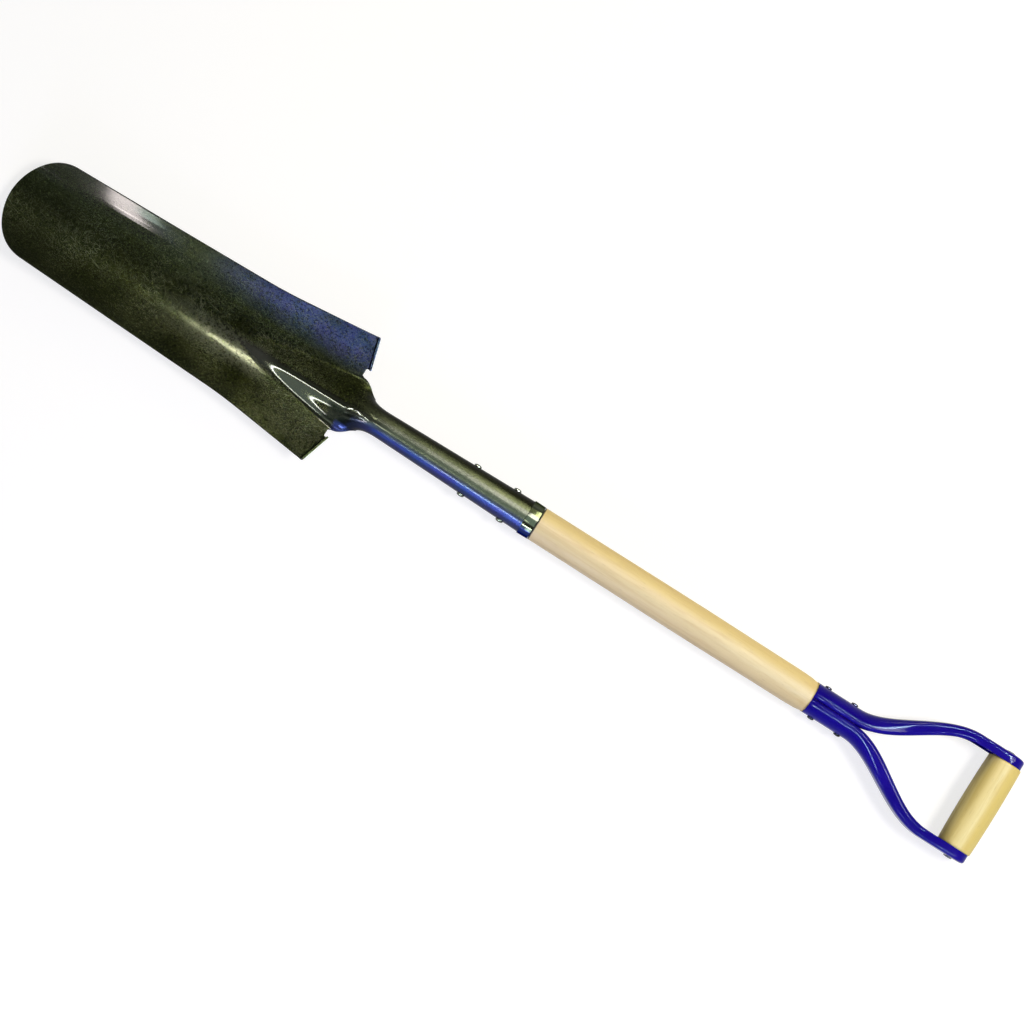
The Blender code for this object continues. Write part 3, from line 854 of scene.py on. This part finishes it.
def temper_and_painted_blues(tree, place, along, across, ground):
    """Ground with blue on the left wing, partly temper colour and partly painted reflection, a painted blue
    reflection on the socket's right flank and a painted blue highlight at the right notch.
    """
    cloudy = cloud(tree, place, 34.0, 4.0, 0.6)
    hue = window(tree, cloudy, 0.4, 0.6)
    wing = product(
        tree,
        window(tree, across, *WING_ACROSS),
        window(tree, along, *WING_ALONG),
        window(tree, cloudy, 0.15, 0.5),
    )
    notch = product(tree, band(tree, across, *NOTCH_BLUE_ACROSS), window(tree, along, *NOTCH_BLUE_ALONG))
    flank = product(tree, window(tree, across, *FLANK_BLUE_ACROSS), window(tree, along, *FLANK_BLUE_ALONG))
    # Left wing's blue: partly temper colour, partly painted reflection of blue light.
    base = blend(tree, wing, ground, blend(tree, hue, *WING_BLUES))
    # Painted reflection and highlight: blue on the socket's right flank and at the right notch.
    base = blend(tree, greatest(tree, flank, notch), base, blend(tree, hue, *FLANK_BLUES))
    return base, wing


def steel_wear(tree, place, base, wing, matt):
    """Base with pits, specks and hair scratches wherever it is matt, and the relief that goes with them."""
    pit = product(tree, window(tree, cloud(tree, place, 330.0, 3.0, 0.75), 0.50, 0.58), matt)
    speck = product(tree, window(tree, cloud(tree, place, 460.0, 3.0, 0.75), 0.58, 0.65), matt)
    hairs = scratches(tree, place, (0.3, 0.9, 1.5, 2.2, 2.8), 0.018, 0.0006, 0.63, 0.69)
    patch = window(tree, cloud(tree, place, 16.0, 2.0), 0.25, 0.60)
    hairs = product(tree, hairs, patch, matt)
    base = blend(tree, product(tree, pit, 0.8), base, PIT_AND_SHADE)
    # Specks on the left wing take its blue, partly temper colour and partly painted reflection.
    base = blend(tree, product(tree, speck, 0.65), base, blend(tree, wing, SPECK, BLUE_SPECK))
    base = blend(tree, product(tree, hairs, 0.65), base, HAIR)
    return base, greatest(tree, product(tree, speck, 0.5), hairs)


def steel_shade(tree, along, across):
    """Painted shade: how much darker the colour is made at the tip, left of the frog and at the right
    corner.
    """
    tip = product(tree, window(tree, along, *TIP_SHADE_ALONG), TIP_SHADE)
    pool = product(tree, band(tree, along, *POOL_ALONG), band(tree, across, *POOL_ACROSS), POOL_SHADE)
    corner_edges = (window(tree, along, *CORNER_SHADE_ALONG), window(tree, across, *CORNER_SHADE_ACROSS))
    corner = product(tree, *corner_edges, CORNER_SHADE)
    return greatest(tree, tip, pool, corner)


def steel_gloss(tree, shader, place, along, across, gloss, streak):
    """Roughness and clear coat: dull at the tip, glossy on the frog, polished on the socket."""
    worn = window(tree, along, *SMOOTH_ALONG, 0.34, 0.18)
    smooth = window(tree, greatest(tree, gloss, streak), 0.0, 1.0, worn, 0.11)
    smooth = greatest(tree, smooth, window(tree, along, *SOCKET_GLOSS, 0.0, 0.24))
    uneven = window(tree, cloud(tree, place, 70.0, 5.0, 0.65), 0.3, 0.7, 0.0, 0.06)
    rough = add_node(tree, 'ShaderNodeMath', {0: smooth, 1: uneven}, operation='ADD').outputs[0]
    glaze = product(tree, window(tree, across, *GLAZE_ACROSS), window(tree, along, *GLAZE_ALONG), 0.4)
    varnish = product(tree, gloss, window(tree, along, *SOCKET_GLOSS, 0.85, 0.0))
    polish = window(tree, along, *SOCKET_GLOSS, 0.0, 0.10)
    polish = product(tree, polish, window(tree, across, *POLISH_ACROSS))
    tree.links.new(rough, shader.inputs["Roughness"])
    tree.links.new(greatest(tree, varnish, polish, glaze), shader.inputs["Coat Weight"])
    shader.inputs["Coat Roughness"].default_value = 0.06


def steel_finish():
    """Rolled steel under a thin dark lacquer: mottled, speckled, scratched, with blue that is partly temper
    colour and partly painted reflection, and with painted highlights and painted shade.
    """
    material, tree, shader, place = start_finish("lacquered_steel")
    along, across = split_axes(tree, place)
    from_middle = add_node(tree, 'ShaderNodeMath', {0: across}, operation='ABSOLUTE').outputs[0]
    frog, glossy = frog_masks(tree, along, across, from_middle)
    streak = product(tree, band(tree, along, *STREAK_ALONG), band(tree, across, *STREAK_ACROSS))
    dull = window(tree, glossy, 0.0, 1.0, 1.0, 0.0)
    hollow = product(tree, frog, dull, window(tree, along, *HOLLOW_END))
    off_frog = window(tree, frog, 0.0, 1.0, 1.0, 0.1)
    matt = product(tree, off_frog, window(tree, along, *SOCKET_MATT, 1.0, 0.35))

    base = steel_ground(tree, place, along, from_middle, streak, hollow)
    base, wing = temper_and_painted_blues(tree, place, along, across, base)
    base, height = steel_wear(tree, place, base, wing, matt)
    # Painted shade: the colour darkens towards the pit colour at the tip, left of the frog and at the right
    # corner.
    base = blend(tree, steel_shade(tree, along, across), base, PIT_AND_SHADE)
    tree.links.new(base, shader.inputs["Base Color"])
    steel_gloss(tree, shader, place, along, across, product(tree, frog, glossy), streak)
    shader.inputs["Metallic"].default_value = 0.65
    shader.inputs["Specular Tint"].default_value = (0.08, 0.09, 0.07, 1.0)
    relief(tree, shader, height, 0.00003)
    return material


def bright_finish(name, colour, smoothest, roughest, blue_reflection=0.0):
    """Bright steel with turned lines round its axis, and a painted blue reflection on its right side if
    asked.
    """
    material, tree, shader, place = start_finish(name)
    turned = cloud(tree, stretched(tree, place, (2400.0, 60.0, 60.0)), 1.0, 3.0)
    base = blend(tree, window(tree, turned, 0.35, 0.65), darker(colour, 0.7), colour)
    across = split_axes(tree, place)[1]
    # Painted reflection: blue on the right side, where blue light would reflect.
    base = blend(tree, window(tree, across, *COLLAR_REFLECTION_ACROSS, 0.0, blue_reflection), base, COLLAR_BLUE_REFLECTION)
    tree.links.new(base, shader.inputs["Base Color"])
    rough = window(tree, cloud(tree, place, 300.0, 3.0), 0.3, 0.7, smoothest, roughest)
    tree.links.new(rough, shader.inputs["Roughness"])
    shader.inputs["Metallic"].default_value = 1.0
    shader.inputs["Specular Tint"].default_value = (0.3, 0.3, 0.3, 1.0)
    relief(tree, shader, turned, 0.00002)
    return material


def wood_finish(name, pale, dark, axis, joint_at=None):
    """Clear-lacquered wood with its grain along an axis, and with a painted shade line at its joint if
    asked.
    """
    material, tree, shader, place = start_finish(name)
    grain = stretched(tree, place, tuple(0.05 if direction == axis else 1.0 for direction in "xyz"))
    bend = cloud(tree, grain, 60.0, 2.0)
    ring = cloud(tree, grain, 190.0, 3.0, 0.55, 0.6)
    streak = cloud(tree, grain, 700.0, 2.0)
    pore = window(tree, cloud(tree, grain, 2300.0, 1.0), 0.68, 0.78)
    base = blend(tree, window(tree, bend, 0.35, 0.7), pale, mix_colour(pale, dark, 0.30))
    base = blend(tree, window(tree, ring, 0.50, 0.72, 0.0, 0.45), base, dark)
    base = blend(tree, window(tree, streak, 0.55, 0.8, 0.0, 0.35), base, dark)
    base = blend(tree, product(tree, pore, 0.4), base, darker(dark, 0.5))
    if joint_at is not None:
        along = split_axes(tree, place)[0]
        # Painted shade: a dark band on the wood at its shoulder beside the collar.
        joint_shade = window(tree, along, joint_at + JOINT_LINE, joint_at + JOINT_LINE / 2.0)
        base = blend(tree, joint_shade, base, JOINT_SHADE_DARK)
    tree.links.new(base, shader.inputs["Base Color"])
    tree.links.new(window(tree, streak, 0.3, 0.7, 0.42, 0.55), shader.inputs["Roughness"])
    shader.inputs["Specular IOR Level"].default_value = 0.35
    relief(tree, shader, greatest(tree, pore, product(tree, ring, 0.4)), 0.00008)
    return material


def paint_finish():
    """Deep blue gloss paint with a slight orange peel."""
    material, tree, shader, place = start_finish("blue_paint")
    tone = window(tree, cloud(tree, place, 45.0, 3.0), 0.3, 0.7)
    dust = window(tree, cloud(tree, place, 900.0, 2.0), 0.66, 0.78)
    base = blend(tree, tone, *PAINT_BLUES)
    base = blend(tree, product(tree, dust, 0.3), base, PAINT_DUST)
    rough = window(tree, cloud(tree, place, 130.0, 3.0), 0.3, 0.7, 0.05, 0.09)
    tree.links.new(base, shader.inputs["Base Color"])
    tree.links.new(rough, shader.inputs["Roughness"])
    shader.inputs["IOR"].default_value = 1.15
    relief(tree, shader, cloud(tree, place, 420.0, 2.0), 0.00003)
    return material


def seen_directly(tree):
    """1 for rays from the camera or off a glossy or clear surface, 0 for diffuse light."""
    path = add_node(tree, 'ShaderNodeLightPath').outputs
    return greatest(tree, path["Is Camera Ray"], path["Is Glossy Ray"], path["Is Transmission Ray"])


def floor_finish():
    """White floor that keeps soft shadows, with part of its white its own for what looks at it directly."""
    material = bpy.data.materials.new("white_floor")
    material.use_nodes = True
    tree = material.node_tree
    tree.nodes.clear()
    matte = add_node(tree, 'ShaderNodeBsdfDiffuse', {"Color": FLOOR_GREY})
    strength = product(tree, seen_directly(tree), FLOOR_GLOW)
    glow = add_node(tree, 'ShaderNodeEmission', {"Strength": strength})
    both = add_node(tree, 'ShaderNodeAddShader', {0: matte.outputs[0], 1: glow.outputs[0]})
    add_node(tree, 'ShaderNodeOutputMaterial', {"Surface": both.outputs[0]})
    return material


def build_floor():
    """Large floor under the spade."""
    shape = bmesh.new()
    bmesh.ops.create_grid(shape, x_segments=1, y_segments=1, size=FLOOR_SIZE / 2.0)
    mesh = bpy.data.meshes.new("floor")
    shape.to_mesh(mesh)
    shape.free()
    floor = bpy.data.objects.new("floor", mesh)
    bpy.context.scene.collection.objects.link(floor)
    mesh.materials.append(floor_finish())


def build_world():
    """Studio that is white low down all round and dimmer overhead."""
    world = bpy.data.worlds.new("studio")
    bpy.context.scene.world = world
    world.use_nodes = True
    tree = world.node_tree
    direction = add_node(tree, 'ShaderNodeTexCoord').outputs["Generated"]
    height = add_node(tree, 'ShaderNodeSeparateXYZ', {"Vector": direction}).outputs["Z"]
    background = tree.nodes["Background"].inputs
    shown = product(tree, window(tree, height, 0.05, 0.40, 1.0, 0.30), seen_directly(tree))
    tree.links.new(greatest(tree, shown, AMBIENT), background["Strength"])
    background["Color"].default_value = WORLD_WHITE


def add_lamp(name, place, target, size, colour, radiance):
    """Rectangular softbox of this brightness, facing a target."""
    lamp = bpy.data.lights.new(name, 'AREA')
    lamp.shape = 'RECTANGLE'
    lamp.size, lamp.size_y = size
    lamp.color = colour
    lamp.energy = radiance * pi * size[0] * size[1]
    item = bpy.data.objects.new(name, lamp)
    item.location = place
    item.rotation_euler = (Vector(target) - Vector(place)).to_track_quat('-Z', 'Y').to_euler()
    bpy.context.scene.collection.objects.link(item)
    return item


def add_fill(name, place, target, size, colour, radiance):
    """Softbox that lights surfaces but doesn't show as a reflection."""
    add_lamp(name, place, target, size, colour, radiance).visible_glossy = False


def add_card(name, place, target, size, colour, radiance):
    """Softbox that only shows as a reflection in glossy surfaces."""
    add_lamp(name, place, target, size, colour, radiance).visible_diffuse = False


def build_lamps():
    """Key light beyond the grip, coloured fills at the sides, and cards that draw the reflections."""
    white = (1.0, 1.0, 1.0)
    rose = (1.0, 0.90, 0.88)
    sky = (0.6, 0.85, 1.0)
    add_lamp("key", (1.7, 0.60, 2.6), (0.2, 0.0, 0.0), (0.8, 0.8), (1.0, 0.95, 0.88), 31.0)
    add_fill("blue_fill", (0.10, -1.1, 0.40), (0.1, 0.0, 0.0), (0.6, 0.5), (0.58, 0.61, 1.0), 7.5)
    add_fill("yellow_fill", (0.45, 1.2, 0.45), (0.4, 0.0, 0.0), (0.9, 0.5), (1.0, 0.80, 0.06), 3.4)
    add_card("overhead", (0.05, -0.25, 1.30), (0.05, 0.0, 0.0), (0.60, 1.10), (0.80, 1.0, 1.05), 1.9)
    add_card("socket_strip", (0.05, 0.46, 1.28), (0.0, 0.0, 0.0), (0.36, 0.60), (0.95, 0.85, 1.0), 20.0)
    add_card("collar_side", (0.13, 1.05, 0.88), (0.035, 0.0, 0.0), (0.20, 0.95), (1.0, 0.97, 0.62), 20.0)
    add_card("socket_side", (-0.05, 1.10, 0.90), (0.0, 0.0, 0.0), (0.50, 0.80), (1.0, 1.0, 0.6), 0.8)
    add_card("blade_side", (-0.60, 1.00, 1.05), (-0.35, 0.0, 0.0), (1.40, 1.30), (1.0, 1.0, 0.55), 0.38)
    add_card("prow_strip", (-0.560, 0.34, 1.29), (-0.35, 0.0, 0.0), (0.05, 0.11), (1.0, 0.96, 0.80), 150.0)
    add_card("window", (-0.89, -0.95, 1.20), (-0.25, 0.0, 0.0), (0.36, 0.60), (0.85, 1.0, 0.95), 1.5)
    add_card("window_top", (-0.86, -0.64, 1.25), (-0.25, 0.0, 0.0), (0.36, 0.03), white, 48.0)
    add_card("window_bottom", (-0.97, -1.28, 1.12), (-0.25, 0.0, 0.0), (0.36, 0.03), white, 48.0)
    add_card("throat_strip", (-0.27, -0.55, 1.25), (-0.16, 0.0, 0.0), (0.40, 0.04), (1.0, 1.0, 0.85), 26.0)
    add_card("ridge_strip", (-1.22, -0.45, 1.25), (-0.18, 0.0, 0.0), (0.38, 0.03), white, 60.0)
    add_card("tip_lamp", (-0.6430, -1.05, 0.43), (-0.50, 0.045, 0.0), (0.030, 0.40), rose, 42.0)
    add_card("tip_lamp_top", (-0.646, -1.05, 0.70), (-0.49, 0.045, 0.0), (0.020, 0.16), rose, 36.0)
    add_card("tip_glow", (-0.617, -1.05, 0.34), (-0.48, 0.045, 0.0), (0.022, 0.22), (0.80, 1.0, 0.85), 16.0)
    add_card("teal_glow", (-0.545, -1.05, 0.50), (-0.46, 0.045, 0.0), (0.10, 0.60), (0.65, 1.0, 0.95), 0.5)
    add_card("blue_blade", (-0.46, -1.00, 0.90), (-0.28, 0.03, 0.0), (0.30, 1.20), (0.40, 0.60, 1.0), 1.5)
    add_card("blue_socket", (-0.10, -1.15, 0.32), (-0.10, 0.0, 0.0), (0.42, 0.62), (0.12, 0.22, 1.0), 3.0)
    add_card("blue_line", (-0.03, -0.98, 0.65), (-0.03, 0.0, 0.0), (0.30, 0.08), (0.90, 1.0, 0.92), 66.0)
    add_card("collar_line", (0.05, -1.05, 0.34), (0.035, 0.0, 0.0), (0.07, 0.46), (0.70, 0.85, 1.0), 17.0)
    add_card("yoke_strip_left", (0.80, 0.40, 1.29), (0.55, 0.0, 0.0), (0.65, 0.06), sky, 190.0)
    add_card("yoke_strip_right", (0.80, -0.45, 1.25), (0.55, 0.0, 0.0), (0.65, 0.06), sky, 190.0)


def build_camera():
    """Camera above the spade, a little to its right, turned so that it lies across the picture."""
    camera = bpy.data.cameras.new("camera")
    camera.lens = CAMERA_LENS
    item = bpy.data.objects.new("camera", camera)
    tilt = Matrix.Rotation(CAMERA_TILT, 3, 'X')
    item.location = Vector(CAMERA_TARGET) + tilt @ Vector((0.0, 0.0, CAMERA_DISTANCE))
    item.rotation_euler = (tilt @ Matrix.Rotation(CAMERA_TURN, 3, 'Z')).to_euler()
    bpy.context.scene.collection.objects.link(item)
    bpy.context.scene.camera = item


def build_spade():
    """Every piece of the spade with its finish."""
    steel = steel_finish()
    rivet = bright_finish("rivet_steel", RIVET_STEEL, 0.16, 0.30)
    dark_rivet = bright_finish("dark_rivet", DARK_RIVET, 0.12, 0.20)
    paint = paint_finish()
    build_blade(steel)
    build_collar(bright_finish("collar_steel", COLLAR_STEEL, 0.07, 0.12, 1.0))
    build_shaft(wood_finish("ash", ASH_PALE, ASH_DARK, "x", SHAFT_SHOULDER_AT))
    build_yoke("yoke_left", 1.0, paint)
    build_yoke("yoke_right", -1.0, paint)
    build_rivets(rivet, dark_rivet)
    build_grip(wood_finish("grip_wood", GRIP_PALE, GRIP_DARK, "y"))


build_camera()
build_spade()
build_floor()
build_world()
build_lamps()
bpy.context.scene.view_settings.view_transform = 'Standard'
